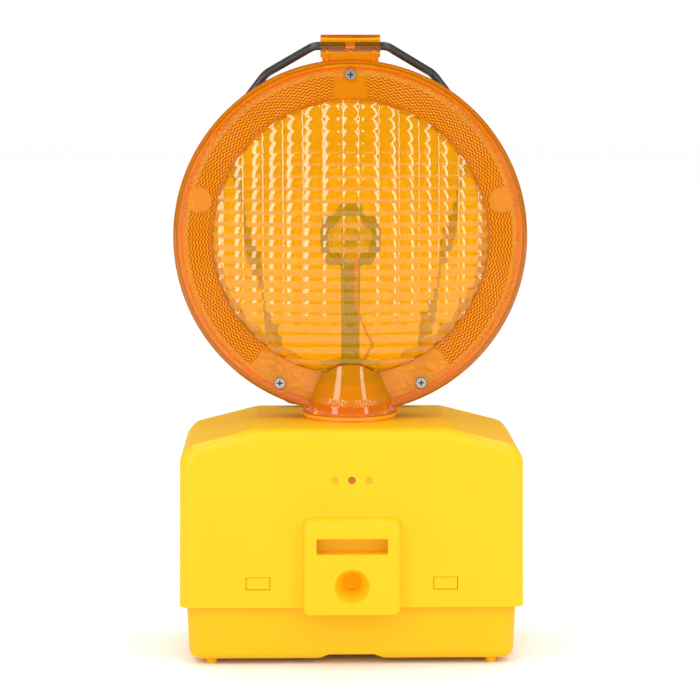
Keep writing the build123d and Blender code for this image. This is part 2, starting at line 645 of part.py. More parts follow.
def lens_half(facing):
    """One moulded half of the head with half the neck: FRONT also carries the handle tube."""
    lens_axis = Axis((0, 0, LENS_Z), (0, 1, 0))
    outer_arc, outer_run = lens_profile(facing, 0)
    hollow_arc, hollow_run = lens_profile(facing, LENS_WALL)
    with BuildPart() as half:
        with BuildSketch(Plane.XY.offset(LENS_Z)):
            with BuildLine():
                ThreePointArc(*outer_arc)
                Polyline(*outer_run)
            make_face()
        revolve(axis=lens_axis)
        # Neck outside: base disc and cone
        with BuildSketch(Plane.XZ):
            with BuildLine():
                Polyline(
                    (0, NECK_BASE_Z),
                    (NECK_BASE_R, NECK_BASE_Z),
                    (NECK_BASE_R, NECK_BASE_Z + NECK_BASE_H),
                    (neck_radius(NECK_TOP_Z), NECK_TOP_Z),
                    (0, NECK_TOP_Z),
                    close=True,
                )
            make_face()
        revolve(axis=Axis.Z)
        # Hollow of the lens and of the cone
        with BuildSketch(Plane.XY.offset(LENS_Z)):
            with BuildLine():
                ThreePointArc(*hollow_arc)
                Polyline(*hollow_run)
            make_face()
        revolve(axis=lens_axis, mode=Mode.SUBTRACT)
        with BuildSketch(Plane.XZ):
            with BuildLine():
                Polyline(
                    (0, SHELF_Z),
                    (neck_radius(SHELF_Z) - LENS_WALL, SHELF_Z),
                    (neck_radius(NECK_TOP_Z) - LENS_WALL, NECK_TOP_Z),
                    (0, NECK_TOP_Z),
                    close=True,
                )
            make_face()
        revolve(axis=Axis.Z, mode=Mode.SUBTRACT)
        # Thick foot of the neck, stepped inside round the turret's lip and the post's base
        with BuildSketch(Plane.XZ):
            with BuildLine():
                Polyline(
                    (0, NECK_BASE_Z),
                    (NECK_BASE_R, NECK_BASE_Z),
                    (NECK_BASE_R, NECK_BASE_Z + NECK_BASE_H),
                    (neck_radius(SHELF_Z), SHELF_Z),
                    (0, SHELF_Z),
                    close=True,
                )
            make_face()
        revolve(axis=Axis.Z)
        with BuildSketch(Plane.XZ):
            with BuildLine():
                Polyline(
                    (0, NECK_BASE_Z),
                    (TURRET_R + 0.4, NECK_BASE_Z),
                    (TURRET_R + 0.4, HOLD_Z),
                    (LIP_R + 0.4, HOLD_Z),
                    (LIP_R + 0.4, LEDGE_LOW_Z),
                    (LIP_R - 1.8, LEDGE_LOW_Z),
                    (LIP_R - 1.8, LEDGE_HIGH_Z),
                    (LIP_R, LEDGE_HIGH_Z),
                    (LIP_R, SHELF_Z),
                    (0, SHELF_Z),
                    close=True,
                )
            make_face()
        revolve(axis=Axis.Z, mode=Mode.SUBTRACT)
        # Screw bosses and the round pads over screws and locating pegs
        for angle in SCREW_ANGLES:
            with BuildSketch(along_y(on_circle(SCREW_RING_R, angle, 0), facing)):
                Circle(BOSS_R)
            extrude(amount=BAND_OUT)
            with BuildSketch(along_y(on_circle(SCREW_RING_R - 1, angle, facing * (BAND_OUT - 1)), facing)):
                Circle(PAD_R)
            extrude(amount=1 + PAD_H)
        for angle in PEG_ANGLES:
            with BuildSketch(along_y(on_circle(PEG_RING_R, angle, facing * (BAND_OUT - 1)), facing)):
                Circle(PAD_R)
            extrude(amount=1 + PAD_H)
        if facing == FRONT:
            with BuildSketch(Plane(origin=(-TUBE_L / 2, TUBE_Y, TUBE_Z), z_dir=(1, 0, 0))):
                Circle(TUBE_R)
            extrude(amount=TUBE_L)
            with BuildSketch(Plane.XY.offset(GUSSET_Z0)):
                with Locations((0, TUBE_Y)):
                    Rectangle(TUBE_L - 1.8, GUSSET_D)
            extrude(amount=TUBE_Z - GUSSET_Z0)
            with BuildSketch(Plane.XY.offset(RIB_Z0)):
                with Locations(*[(x, RIB_Y) for x in GUSSET_RIBS]):
                    Rectangle(1.4, 2.4)
            extrude(amount=7.0)
            with BuildSketch(Plane(origin=(-TUBE_L / 2, TUBE_Y, TUBE_Z), z_dir=(1, 0, 0))):
                Circle(ROD_R + 0.05)
            extrude(amount=TUBE_L, mode=Mode.SUBTRACT)
            for angle in SCREW_ANGLES:
                with BuildSketch(along_y(on_circle(SCREW_RING_R, angle, 0), FRONT)):
                    Circle(LENS_SCREW_R + 0.1)
                extrude(amount=2 * BAND_OUT, mode=Mode.SUBTRACT)
        else:
            for angle in SCREW_ANGLES:
                with BuildSketch(along_y(on_circle(SCREW_RING_R, angle, 0), BACK)):
                    Circle(INSERT_R + 0.02)
                extrude(amount=INSERT_L + PARTING_GAP + 0.1, mode=Mode.SUBTRACT)
        split(bisect_by=Plane(origin=(0, facing * PARTING_GAP, 0), z_dir=(0, facing, 0)))
    return half


lens_front = lens_half(FRONT)
lens_front.part.label = "lens_front"
export_step(lens_front.part, "parts/lens_front.step")
lens_rear = lens_half(BACK)
lens_rear.part.label = "lens_rear"
export_step(lens_rear.part, "parts/lens_rear.step")

with BuildPart() as lens_seal:
    with BuildSketch(front_plane(PARTING_GAP)):
        with Locations((0, LENS_Z)):
            Circle(LENS_R - 0.6)
            Circle(HOLLOW_R + 0.1, mode=Mode.SUBTRACT)
        with Locations((0, LENS_Z - LENS_R)):
            Rectangle(2 * NECK_BASE_R + 2, 40.0, mode=Mode.SUBTRACT)
    extrude(amount=2 * PARTING_GAP)
lens_seal.part.label = "lens_seal"
export_step(lens_seal.part, "parts/lens_seal.step")

lens_screw_planes = [
    along_y(on_circle(SCREW_RING_R, angle, -BAND_OUT - PAD_H), FRONT) for angle in SCREW_ANGLES
]
lens_screws = cross_screws(lens_screw_planes, 2.6, 1.8, LENS_SCREW_R, 20.0)
lens_screws.part.label = "lens_screws"
export_step(lens_screws.part, "parts/lens_screws.step")

with BuildPart() as screw_inserts:
    for angle in SCREW_ANGLES:
        with BuildSketch(along_y(on_circle(SCREW_RING_R, angle, PARTING_GAP), BACK)):
            Circle(INSERT_R)
            Circle(LENS_SCREW_R + 0.04, mode=Mode.SUBTRACT)
        extrude(amount=INSERT_L)
screw_inserts.part.label = "screw_inserts"
export_step(screw_inserts.part, "parts/screw_inserts.step")

# ---- LED post: base, stem and the ring round the two-sided LED board ----
RING_R, RING_BORE_R, RING_HALF_T = 16.2, 11.0, 6.0
STEM_W, STEM_D = 9.5, 6.0
LED_BOARD_R, LED_BOARD_HALF_T, LED_SCREW_X = 10.8, 0.8, 8.6
LED_BASE_W, LED_BASE_T, LED_R, LED_L = 7.6, 1.0, 3.3, 4.2
LUG_X, LUG_W, LUG_H, LUG_T = 9.4, 4.6, 4.0, 2.0
WIRE_HOLES = [(2.6, -6.2), (6.0, -4.6)]

with BuildPart() as led_post:
    with BuildSketch(Plane.XY.offset(LEDGE_HIGH_Z)):
        Circle(LIP_R - 0.4)
        with Locations(*WIRE_HOLES):
            Circle(1.3, mode=Mode.SUBTRACT)
    extrude(amount=3.0)
    with BuildSketch(Plane.XY.offset(LEDGE_HIGH_Z)):
        Rectangle(STEM_W, STEM_D)
    extrude(amount=LED_Z - RING_R + 1.5 - LEDGE_HIGH_Z)
    with BuildSketch(front_plane(RING_HALF_T)):
        with Locations((0, LED_Z)):
            Circle(RING_R)
            Circle(RING_BORE_R, mode=Mode.SUBTRACT)
    extrude(amount=2 * RING_HALF_T)
    # Four notches on each face break the ring into dark patches
    for facing in (FRONT, BACK):
        with BuildSketch(along_y((0, facing * 2.5, LED_Z), facing)):
            with PolarLocations((RING_R + RING_BORE_R) / 2, 4, start_angle=45):
                Rectangle(8.0, 7.0)
        extrude(amount=RING_HALF_T, mode=Mode.SUBTRACT)
    # Lugs that the LED board is screwed to
    with BuildSketch(front_plane(LED_BOARD_HALF_T + LUG_T)):
        with Locations((-LUG_X, LED_Z), (LUG_X, LED_Z)):
            Rectangle(LUG_W, LUG_H)
    extrude(amount=LUG_T)
    with BuildSketch(front_plane(LED_BOARD_HALF_T + LUG_T)):
        with Locations((-LED_SCREW_X, LED_Z), (LED_SCREW_X, LED_Z)):
            Circle(0.85)
    extrude(amount=LUG_T, mode=Mode.SUBTRACT)
led_post.part.label = "led_post"
export_step(led_post.part, "parts/led_post.step")

with BuildPart() as led_board:
    with BuildSketch(front_plane(LED_BOARD_HALF_T)):
        with Locations((0, LED_Z)):
            Circle(LED_BOARD_R)
        with Locations((-LED_SCREW_X, LED_Z), (LED_SCREW_X, LED_Z)):
            Circle(0.95, mode=Mode.SUBTRACT)
    extrude(amount=2 * LED_BOARD_HALF_T)
led_board.part.label = "led_board"
export_step(led_board.part, "parts/led_board.step")


def led(facing):
    """Round LED: a square base and a domed lens."""
    with BuildPart() as lamp:
        with BuildSketch(along_y((0, facing * LED_BOARD_HALF_T, LED_Z), facing)):
            Rectangle(LED_BASE_W, LED_BASE_W)
        extrude(amount=LED_BASE_T)
        with BuildSketch(along_y((0, facing * (LED_BOARD_HALF_T + LED_BASE_T), LED_Z), facing)):
            Circle(LED_R)
        extrude(amount=LED_L)
        tip = lamp.faces().sort_by(Axis.Y)[0 if facing == FRONT else -1]
        fillet(tip.edges(), 3.0)
    return lamp


led_front = led(FRONT)
led_front.part.label = "led_front"
export_step(led_front.part, "parts/led_front.step")
led_rear = led(BACK)
led_rear.part.label = "led_rear"
export_step(led_rear.part, "parts/led_rear.step")

led_screws = cross_screws(
    [along_y((x, -LED_BOARD_HALF_T, LED_Z), FRONT) for x in (-LED_SCREW_X, LED_SCREW_X)],
    1.6, 1.1, 0.8, 3.4,
)
led_screws.part.label = "led_screws"
export_step(led_screws.part, "parts/led_screws.step")

# ---- Wires from the LED board down the post to the plug on the turret's axis ----
PLUG_Z0, PLUG_Z1 = 114.6, 130.0
LAMP_WIRE_R = 0.7


def lamp_wire(top_x, bulge_x, hole, plug_x):
    """Down the stem's front, through the post's base and the turret to the plug."""
    hole_x, hole_y = hole
    points = [
        (top_x, -LED_BOARD_HALF_T - 0.05, LED_Z - 7.0),
        (top_x, -8.0, LED_Z - 7.0),
        (top_x, -8.0, 190.0),
        (bulge_x, -10.0, 168.0),
        (hole_x, hole_y, 156.0),
        (hole_x, hole_y, 147.0),
        (plug_x, -1.0, 137.5),
        (plug_x, -1.0, PLUG_Z1 + 0.05),
    ]
    return bent_rod(points, 1.8, LAMP_WIRE_R)


wire_black = lamp_wire(-2.6, 2.0, WIRE_HOLES[0], -2.0)
wire_black.part.label = "wire_black"
export_step(wire_black.part, "parts/wire_black.step")
wire_red = lamp_wire(2.6, 12.0, WIRE_HOLES[1], 2.0)
wire_red.part.label = "wire_red"
export_step(wire_red.part, "parts/wire_red.step")

with BuildPart() as wire_plug:
    with BuildSketch(Plane.XY.offset(PLUG_Z0)):
        Circle(PLUG_R)
    extrude(amount=PLUG_Z1 - PLUG_Z0)
    chamfer(wire_plug.faces().sort_by(Axis.Z)[0].edges(), 0.8)
wire_plug.part.label = "wire_plug"
export_step(wire_plug.part, "parts/wire_plug.step")

# ---- Handle: rod bail whose two ends meet inside the tube ----
# Half the route, from the end in the tube to the grip bar's corner
handle_half = [
    (2.5, TUBE_Y, TUBE_Z),
    (19.5, TUBE_Y, TUBE_Z),
    (45.5, 17.0, 313.6),
    (69.0, 20.5, 283.0),
    (37.0, 38.0, ROOF_Z + 1.05 + ROD_R),
]
handle_route = handle_half + [(-x, y, z) for x, y, z in reversed(handle_half)]
handle_bends = [5.0, 9.0, 22.0, 10.0, 10.0, 22.0, 9.0, 5.0]
handle = bent_rod(handle_route, handle_bends, ROD_R)
handle.part.label = "handle"
export_step(handle.part, "parts/handle.step")
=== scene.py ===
"""Dresses the barricade warning light: pillow optics, prism bands, every finish and the studio."""

import json
import math

import bpy
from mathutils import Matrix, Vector


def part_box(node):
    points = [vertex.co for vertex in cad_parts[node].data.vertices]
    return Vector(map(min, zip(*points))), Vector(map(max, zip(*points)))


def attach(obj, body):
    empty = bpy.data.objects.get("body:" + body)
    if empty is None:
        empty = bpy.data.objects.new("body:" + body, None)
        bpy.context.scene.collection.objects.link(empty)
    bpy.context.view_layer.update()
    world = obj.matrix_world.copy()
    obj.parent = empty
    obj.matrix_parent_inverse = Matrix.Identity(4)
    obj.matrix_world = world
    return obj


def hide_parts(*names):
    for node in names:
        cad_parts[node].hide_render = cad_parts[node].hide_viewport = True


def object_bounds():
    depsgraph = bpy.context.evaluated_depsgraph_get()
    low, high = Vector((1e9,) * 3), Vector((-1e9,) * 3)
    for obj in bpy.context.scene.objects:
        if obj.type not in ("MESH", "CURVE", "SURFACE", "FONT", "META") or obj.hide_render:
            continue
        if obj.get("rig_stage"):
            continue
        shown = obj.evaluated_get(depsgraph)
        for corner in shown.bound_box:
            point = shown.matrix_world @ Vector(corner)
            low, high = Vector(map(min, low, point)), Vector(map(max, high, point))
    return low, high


bl_info = {
    "name": "Barricade Warning Light",
    "version": (1, 0, 0),
    "blender": (4, 5, 0),
    "location": "View3D > Sidebar > Warning Light",
    "description": "Optics, prism bands, finishes and studio for a two-faced amber road works light",
    "category": "Object",
}

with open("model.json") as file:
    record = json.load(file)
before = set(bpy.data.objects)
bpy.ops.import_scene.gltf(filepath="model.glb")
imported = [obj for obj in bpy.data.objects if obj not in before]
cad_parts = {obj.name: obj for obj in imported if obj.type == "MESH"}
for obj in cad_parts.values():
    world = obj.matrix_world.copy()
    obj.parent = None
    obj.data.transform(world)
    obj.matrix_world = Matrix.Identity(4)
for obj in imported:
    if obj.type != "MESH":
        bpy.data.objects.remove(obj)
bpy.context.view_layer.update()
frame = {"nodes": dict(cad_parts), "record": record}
MM = 0.001
SCREW_TOP_TO_CENTRE = 89.6 * MM
LENS_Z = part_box("lens_screws")[1].z - SCREW_TOP_TO_CENTRE
ACROSS, ALONG = 10, 6  # mesh steps over one pillow
# Radii of three rings inside the optic that get a painted highlight.
PAINTED_HIGHLIGHT_RINGS = ((14.8 * MM, 15.5 * MM), (22.9 * MM, 23.6 * MM), (33.0 * MM, 33.6 * MM))
BAND_FROM, BAND_TO, BAND_MIDDLE = 74.5 * MM, 86.6 * MM, 81 * MM
BAND_START, BAND_END = math.radians(-52.0), math.radians(232.0)
BAND_THICKNESS = 0.5 * MM
LEAST_BAND_FACES = 500
STIPPLE_TO = 90.0 * MM
RIM_FROM, RIM_TO = 89.6 * MM, 200 * MM
BUBBLES_BELOW, BUBBLES_SOFT = 62 * MM, 58 * MM
NECK_HALF_WIDTH, NECK_SOFT = 24 * MM, 26 * MM
PAD_RING, PAD_FREE = 83.7 * MM, 7.6 * MM
PAD_ANGLES = (14, 166)
TOP_PAD_HALF_WIDTH, TOP_PAD_FROM = 9.3 * MM, 73.5 * MM
CUTTER_SPARE, CUTTER_RINGS, CUTTER_TURNS = 1.0 * MM, 48, 160
TUBE_REACH = 6.5 * MM
SCREW_RECESS = 0.9 * MM
SIDE_WINDOW_FROM, SIDE_WINDOW_TO = 4 * MM, 5 * MM
GRAIN = 0.35 * MM
SLOT_OF = {part["node"]: part["material_slot"] for part in frame["record"]["subparts"]}
SOFTBOX_TURN = math.radians(38.0)
LEAN, DROP = 0.45, 0.12  # the point that a gloss panel faces, as a share of its place, and lower
FAR, SOFT_HEIGHT = 3, 1.5
EDGE_SHARE, TOP_SHARE = 0.5, 1.4


# ---------------------------------------------------------------- shader maths


class Value:
    """A number that varies over a surface; arithmetic on it adds Math nodes."""

    def __init__(self, finish, socket):
        self.finish = finish
        self.socket = socket

    def math(self, operation, *terms):
        return self.finish.node("ShaderNodeMath", {"operation": operation}, dict(enumerate(terms)))

    def __add__(self, other):
        return self.math("ADD", self, other)

    def __sub__(self, other):
        return self.math("SUBTRACT", self, other)

    def __rsub__(self, other):
        return self.math("SUBTRACT", other, self)

    def __mul__(self, other):
        return self.math("MULTIPLY", self, other)

    def __truediv__(self, other):
        return self.math("DIVIDE", self, other)

    __radd__ = __add__
    __rmul__ = __mul__

    def sine(self):
        return self.math("SINE", self)

    def absolute(self):
        return self.math("ABSOLUTE", self)

    def root(self):
        return self.math("SQRT", self)

    def fraction(self):
        return self.math("FRACT", self)

    def at_most(self, limit):
        return self.math("MINIMUM", self, limit)

    def angle_over(self, other):
        """The angle whose tangent is this over the other, in radians."""
        return self.math("ARCTAN2", self, other)

    def above(self, start, end):
        """0 below start, 1 above end, smooth between them."""
        settings = {"interpolation_type": "SMOOTHSTEP", "clamp": True}
        return self.finish.node(
            "ShaderNodeMapRange", settings, {"Value": self, "From Min": start, "From Max": end}
        )

    def between(self, start, end, soft):
        """1 from start to end, fading to 0 over the soft width outside."""
        return self.above(start - soft, start) * (1 - self.above(end, end + soft))


class Finish:
    """A material in the making. Constants sit on the shader's own sockets."""

    def __init__(self, name, **constants):
        self.material = bpy.data.materials.new(name)
        self.material.use_nodes = True
        self.tree = self.material.node_tree
        self.shader = self.tree.nodes["Principled BSDF"]
        for socket, value in constants.items():
            self.shader.inputs[socket.replace("_", " ")].default_value = value

    def node(self, kind, settings, sockets, output=0):
        """One node: its settings first, then the values or links of its sockets."""
        made = self.tree.nodes.new(kind)
        for key, value in settings.items():
            setattr(made, key, value)
        for key, value in sockets.items():
            self.feed(made.inputs[key], value)
        return Value(self, made.outputs[output])

    def feed(self, socket, value):
        if isinstance(value, Value):
            self.tree.links.new(value.socket, socket)
        else:
            socket.default_value = value

    def place(self, stretch=(1, 1, 1)):
        """The point on the piece, in metres, stretched per axis."""
        point = self.node("ShaderNodeTexCoord", {}, {}, "Object")
        if stretch == (1, 1, 1):
            return point
        return self.node(
            "ShaderNodeVectorMath", {"operation": "MULTIPLY"}, {0: point, 1: Vector(stretch)}
        )

    def axes(self):
        point = self.place()
        return [
            self.node("ShaderNodeSeparateXYZ", {}, {"Vector": point}, axis) for axis in "XYZ"
        ]

    def noise(self, size, detail=2.0, roughness=0.5, stretch=(1, 1, 1)):
        """Cloudy pattern from 0 to 1 with patches of about size metres."""
        return self.node(
            "ShaderNodeTexNoise",
            {"noise_dimensions": "3D"},
            {
                "Vector": self.place(stretch),
                "Scale": 1.0 / size,
                "Detail": detail,
                "Roughness": roughness,
            },
            "Fac",
        )

    def cells(self, size):
        """Distance to the nearest of scattered points about size metres apart."""
        sockets = {"Vector": self.place(), "Scale": 1.0 / size}
        return self.node("ShaderNodeTexVoronoi", {"feature": "F1"}, sockets, "Distance")

    def mix(self, share, low, high):
        """Colour between low and high."""
        sockets = {0: share, 6: colour(low), 7: colour(high)}
        return self.node("ShaderNodeMix", {"data_type": "RGBA"}, sockets, 2)

    def paint(self, value):
        self.feed(self.shader.inputs["Base Color"], value)

    def rough(self, value):
        self.feed(self.shader.inputs["Roughness"], value)

    def relief(self, height, depth, strength=1.0):
        """Fine relief: height from 0 to 1 over depth metres."""
        bumped = self.node(
            "ShaderNodeBump", {}, {"Strength": strength, "Distance": depth, "Height": height}
        )
        self.feed(self.shader.inputs["Normal"], bumped)

    def lens_radius(self):
        """Distance from the axis of the round lens."""
        x, _, z = self.axes()
        rise = z - LENS_Z
        return (x * x + rise * rise).root()


def colour(value):
    """A colour triple as the four numbers that a socket takes; a link stays a link."""
    if isinstance(value, Value):
        return value
    return (*value[:3], 1.0)


def tone(value, share):
    """The colour made darker below 1 and lighter above 1."""
    return tuple(min(1.0, part * share) for part in value[:3])


# ---------------------------------------------------------------- finishes


def moulded(name, base, rough, **constants):
    """Satin moulded plastic: fine spark-eroded grain, faint flow shading and handling marks."""
    made = Finish(name, IOR=1.5, Specular_IOR_Level=0.18, **constants)
    flow = made.noise(60 * MM, 3.0, 0.55, (1.0, 1.0, 0.45))
    grains = made.noise(GRAIN, 2.0, 0.6)
    pits = made.cells(2.2 * GRAIN)
    marks = made.noise(9 * MM, 4.0, 0.7, (1.0, 1.0, 3.0))
    shade = made.mix(flow, tone(base, 0.955), tone(base, 1.03))
    made.paint(made.mix(marks.above(0.62, 0.78) * 0.35, shade, tone(base, 0.93)))
    made.rough(rough - 0.06 + flow * 0.06 + marks * 0.08)
    made.relief(grains * 0.6 + pits * 0.4, 0.05 * MM, 0.55)
    return made.material


def rubber(name, base):
    """Matt rubber with a dusty bloom."""
    made = Finish(name, IOR=1.45)
    bloom = made.noise(7 * MM, 4.0, 0.65)
    made.paint(made.mix(bloom, tone(base, 0.8), tone(base, 1.7)))
    made.rough(0.62 + bloom * 0.2)
    made.relief(made.noise(0.5 * MM, 3.0), 0.05 * MM, 0.5)
    return made.material


def metal(name, base, rough):
    """Plated or bare metal with fine drawing marks and dull patches."""
    made = Finish(name, Metallic=1.0)
    patches = made.noise(3 * MM, 4.0, 0.65)
    marks = made.noise(0.35 * MM, 3.0, 0.6)
    made.paint(made.mix(patches, tone(base, 0.78), tone(base, 1.12)))
    made.rough(rough + patches * 0.14 + marks * 0.06)
    made.relief(marks, 0.02 * MM, 0.5)
    return made.material


def screw_zinc(name, base, face, depth):
    """Zinc screw head: bright washer face, with painted shade in the cross recess below the face."""
    made = Finish(name, Metallic=1.0)
    _, y, _ = made.axes()
    # Painted shade: everything deeper than the washer face is darkened, standing in for the shade in the
    # cross recess.
    painted_recess_shade = (y - face).above(0.3 * depth, 0.5 * depth)
    patches = made.noise(1.2 * MM, 3.0, 0.6)
    bright = made.mix(patches, tone(base, 0.7), tone(base, 1.2))
    made.paint(made.mix(painted_recess_shade, bright, tone(base, 0.12)))
    made.rough(0.22 + patches * 0.16 + painted_recess_shade * 0.3)
    made.relief(patches, 0.04 * MM, 0.5)
    return made.material


def coated_rod(name, base):
    """Thin black coating on drawn steel, rubbed a little along its length."""
    made = Finish(name, IOR=1.5, Metallic=0.25)
    patches = made.noise(12 * MM, 4.0, 0.6)
    rubbed = made.noise(2.2 * MM, 5.0, 0.7)
    worn = rubbed.above(0.66, 0.8)
    made.paint(made.mix(worn * 0.5, made.mix(patches, tone(base, 0.8), tone(base, 1.35)), (0.24, 0.22, 0.2)))
    made.rough(0.34 + patches * 0.14)
    made.relief(made.noise(0.6 * MM, 3.0), 0.03 * MM, 0.45)
    return made.material


def glossy(name, base, rough=0.22, size=1.2, **constants):
    """Smooth glossy plastic with faint ripples and a slight change of shade."""
    made = Finish(name, IOR=1.5, **constants)
    shade = made.noise(18 * MM, 3.0)
    ripple = made.noise(size * MM, 2.0)
    made.paint(made.mix(shade, tone(base, 0.86), tone(base, 1.1)))
    made.rough(rough + shade * 0.1)
    made.relief(ripple, 0.02 * MM, 0.35)
    return made.material


def window_plastic(name, side, middle):
    """Small clear windows: the middle one is darker than the two beside it."""
    made = Finish(name, IOR=1.5, Specular_IOR_Level=0.3)
    x, _, _ = made.axes()
    beside = x.absolute().above(SIDE_WINDOW_FROM, SIDE_WINDOW_TO)
    ripple = made.noise(1.5 * MM, 2.0)
    made.paint(made.mix(beside, middle, side))
    made.rough(0.2 + ripple * 0.15)
    made.relief(ripple, 0.03 * MM, 0.4)
    return made.material


def circuit_board(name, base, copper):
    """Solder mask with tracks that show through it and small bright pads."""
    made = Finish(name, IOR=1.5, Coat_Weight=0.25, Coat_Roughness=0.12)
    x, y, z = made.axes()
    across = ((x + z) * 1900.0).sine()
    along = ((y + z * 0.6) * 1500.0 + made.noise(9 * MM) * 7.0).sine()
    tracks = (across * along).above(0.32, 0.42)
    pads = 1 - made.cells(3.4 * MM).above(0.2, 0.24)
    mask = made.mix(made.noise(14 * MM), tone(base, 0.8), tone(base, 1.15))
    tracked = made.mix(tracks * 0.55, mask, tone(base, 1.9))
    made.paint(made.mix(pads, tracked, copper))
    made.rough(0.42 - pads * 0.14 + made.noise(1.5 * MM) * 0.08)
    made.relief(tracks * 0.6 + pads * 0.4, 0.05 * MM, 0.6)
    return made.material


def amber_shell(name, base, deep, bright):
    """Clear amber wall: stippled ring outside the prism band, bubbled corners low down, deep rim."""
    made = Finish(
        name, IOR=1.49, Transmission_Weight=0.62, Specular_IOR_Level=0.32
    )
    radius = made.lens_radius()
    x, _, z = made.axes()
    rim = radius.between(RIM_FROM, RIM_TO, 1.2 * MM)
    stipple = radius.between(BAND_TO, STIPPLE_TO, 0.4 * MM)
    under = 1 - z.above(LENS_Z - BUBBLES_BELOW, LENS_Z - BUBBLES_SOFT)
    low = radius.between(BAND_FROM, BAND_TO, 0.4 * MM) * under
    low = low * x.absolute().above(NECK_HALF_WIDTH, NECK_SOFT)
    dots = made.cells(1.3 * MM)
    bubbles = made.cells(3.2 * MM)
    flow = made.noise(22 * MM, 3.0)
    wall = made.mix(flow, base, tone(base, 1.05))
    ringed = made.mix(rim, wall, deep)
    sparked = made.mix(stipple * (1 - dots.above(0.25, 0.5)) * 0.7, ringed, bright)
    made.paint(made.mix(low * (1 - bubbles.above(0.3, 0.6)) * 0.5, sparked, bright))
    made.rough(0.04 + stipple * 0.16 + low * 0.12 + flow * 0.02)
    made.relief(stipple * dots + low * bubbles, 0.35 * MM, 0.7)
    return made.material


def amber_pillow(name, base):
    """Outer face of the optic: clear amber with faint moulding ripples."""
    made = Finish(
        name, IOR=1.13, Transmission_Weight=0.72, Coat_Weight=1.0, Coat_IOR=1.52, Coat_Roughness=0.02
    )
    flow = made.noise(26 * MM, 3.0)
    ripple = made.noise(2.6 * MM, 2.0)
    made.paint(made.mix(flow, base, tone(base, 1.05)))
    made.rough(0.035 + flow * 0.03)
    made.relief(ripple, 0.05 * MM, 0.35)
    return made.material


def amber_rings(name, base, pitch):
    """Inner face of the optic: stepped rings about the lamp, with painted highlights on the ring edges and
    on three rings.
    """
    made = Finish(name, IOR=1.3, Transmission_Weight=0.9)
    radius = made.lens_radius()
    saw = (radius / pitch).fraction()
    flow = made.noise(20 * MM, 3.0)
    wall = made.mix(flow, tone(base, 0.96), base)
    # Painted highlights: a pale yellow line at each ring's step and on three whole rings.
    edge = (1 - saw.above(0.1, 0.24)) * 0.75
    first, second, third = [radius.between(start, end, 0.2 * MM) for start, end in PAINTED_HIGHLIGHT_RINGS]
    bright = (edge + (first + second + third)).at_most(1.0)
    made.paint(made.mix(bright, wall, (1.0, 0.9, 0.03)))
    made.rough(0.04 + flow * 0.03)
    made.relief(saw, 0.5 * MM, 0.8)
    return made.material


def prism_plastic(name, base, light, pitch):
    """Reflector band: tiny clear prisms, dark where they turn the light back, with painted highlights on
    some faces.
    """
    made = Finish(name, IOR=1.49, Specular_IOR_Level=0.08)
    radius = made.lens_radius()
    x, _, z = made.axes()
    around = (z - LENS_Z).angle_over(x)
    swing = (around * (math.pi * BAND_MIDDLE / pitch)).sine()
    painted_highlight_lines = (radius * (2 * math.pi / pitch) + swing * 1.7).sine()
    patch = made.noise(1.6 * MM, 2.0, 0.5)
    sweep = made.noise(30 * MM, 2.0)
    shade = made.mix(sweep, tone(base, 0.9), tone(base, 1.1))
    # Painted highlight: bands of prism faces turn to the light colour, standing in for light caught by the
    # prisms.
    made.paint(made.mix(painted_highlight_lines.above(-0.3, 0.7) * (0.35 + patch * 0.9), shade, light))
    made.rough(0.12 + patch * 0.1)
    made.relief(patch, 0.08 * MM, 0.5)
    return made.material


# ---------------------------------------------------------------- modelling helpers


def clear_selection():
    """Leaves edit mode and selects nothing."""
    if bpy.context.object is not None and bpy.context.object.mode != "OBJECT":
        bpy.ops.object.mode_set(mode="OBJECT")
    bpy.ops.object.select_all(action="DESELECT")


def take(obj):
    """Makes obj the only selected and the active object."""
    clear_selection()
    obj.hide_viewport = False
    obj.select_set(True)
    bpy.context.view_layer.objects.active = obj
    return obj


def pick_faces(obj, test):
    """Selects the faces whose middle and normal pass the test, and stays in edit mode."""
    bpy.ops.object.mode_set(mode="EDIT")
    bpy.ops.mesh.select_mode(type="FACE")
    bpy.ops.mesh.select_all(action="DESELECT")
    bpy.ops.object.mode_set(mode="OBJECT")
    found = 0
    for face in obj.data.polygons:
        face.select = bool(test(face.center, face.normal))
        found += face.select
    bpy.ops.object.mode_set(mode="EDIT")
    return found


def apply_all(obj):
    """Applies the object's modifiers in order."""
    take(obj)
    for modifier in list(obj.modifiers):
        bpy.ops.object.modifier_apply(modifier=modifier.name)


def settle(obj):
    """Puts place, turn and scale into the mesh."""
    take(obj)
    bpy.ops.object.transform_apply(location=True, rotation=True, scale=True)


def smooth(obj, degrees=32.0):
    take(obj)
    bpy.ops.object.shade_smooth_by_angle(angle=math.radians(degrees))


def twin(obj, name):
    """A copy with its own mesh, turned half a turn about the upright axis."""
    take(obj)
    bpy.ops.object.duplicate()
    other = bpy.context.object
    other.name = name
    other.data.name = name
    other.rotation_euler = (0.0, 0.0, math.pi)
    settle(other)
    return other


def wear(obj, *materials):
    """Gives the object these materials in place of its own."""
    if len(obj.data.materials) == 0:
        for material in materials:
            obj.data.materials.append(material)
    for index in range(len(obj.data.materials)):
        obj.data.materials[index] = materials[min(index, len(materials) - 1)]


def dress_node(material, *nodes):
    """Gives the material to single CAD nodes."""
    for name in nodes:
        wear(frame["nodes"][name], material)


def dress(material, slot):
    """Gives the material to every CAD node of that slot."""
    nodes = [name for name, used in SLOT_OF.items() if used == slot]
    if not nodes:
        raise RuntimeError(f"no node has the slot {slot}")
    for name in nodes:
        wear(frame["nodes"][name], material)


def register_piece(obj, body, slot, *nodes):
    """Rides on its body and stands for the nodes, which it hides; the slot is not used."""
    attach(obj, body)
    if nodes:
        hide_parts(*nodes)


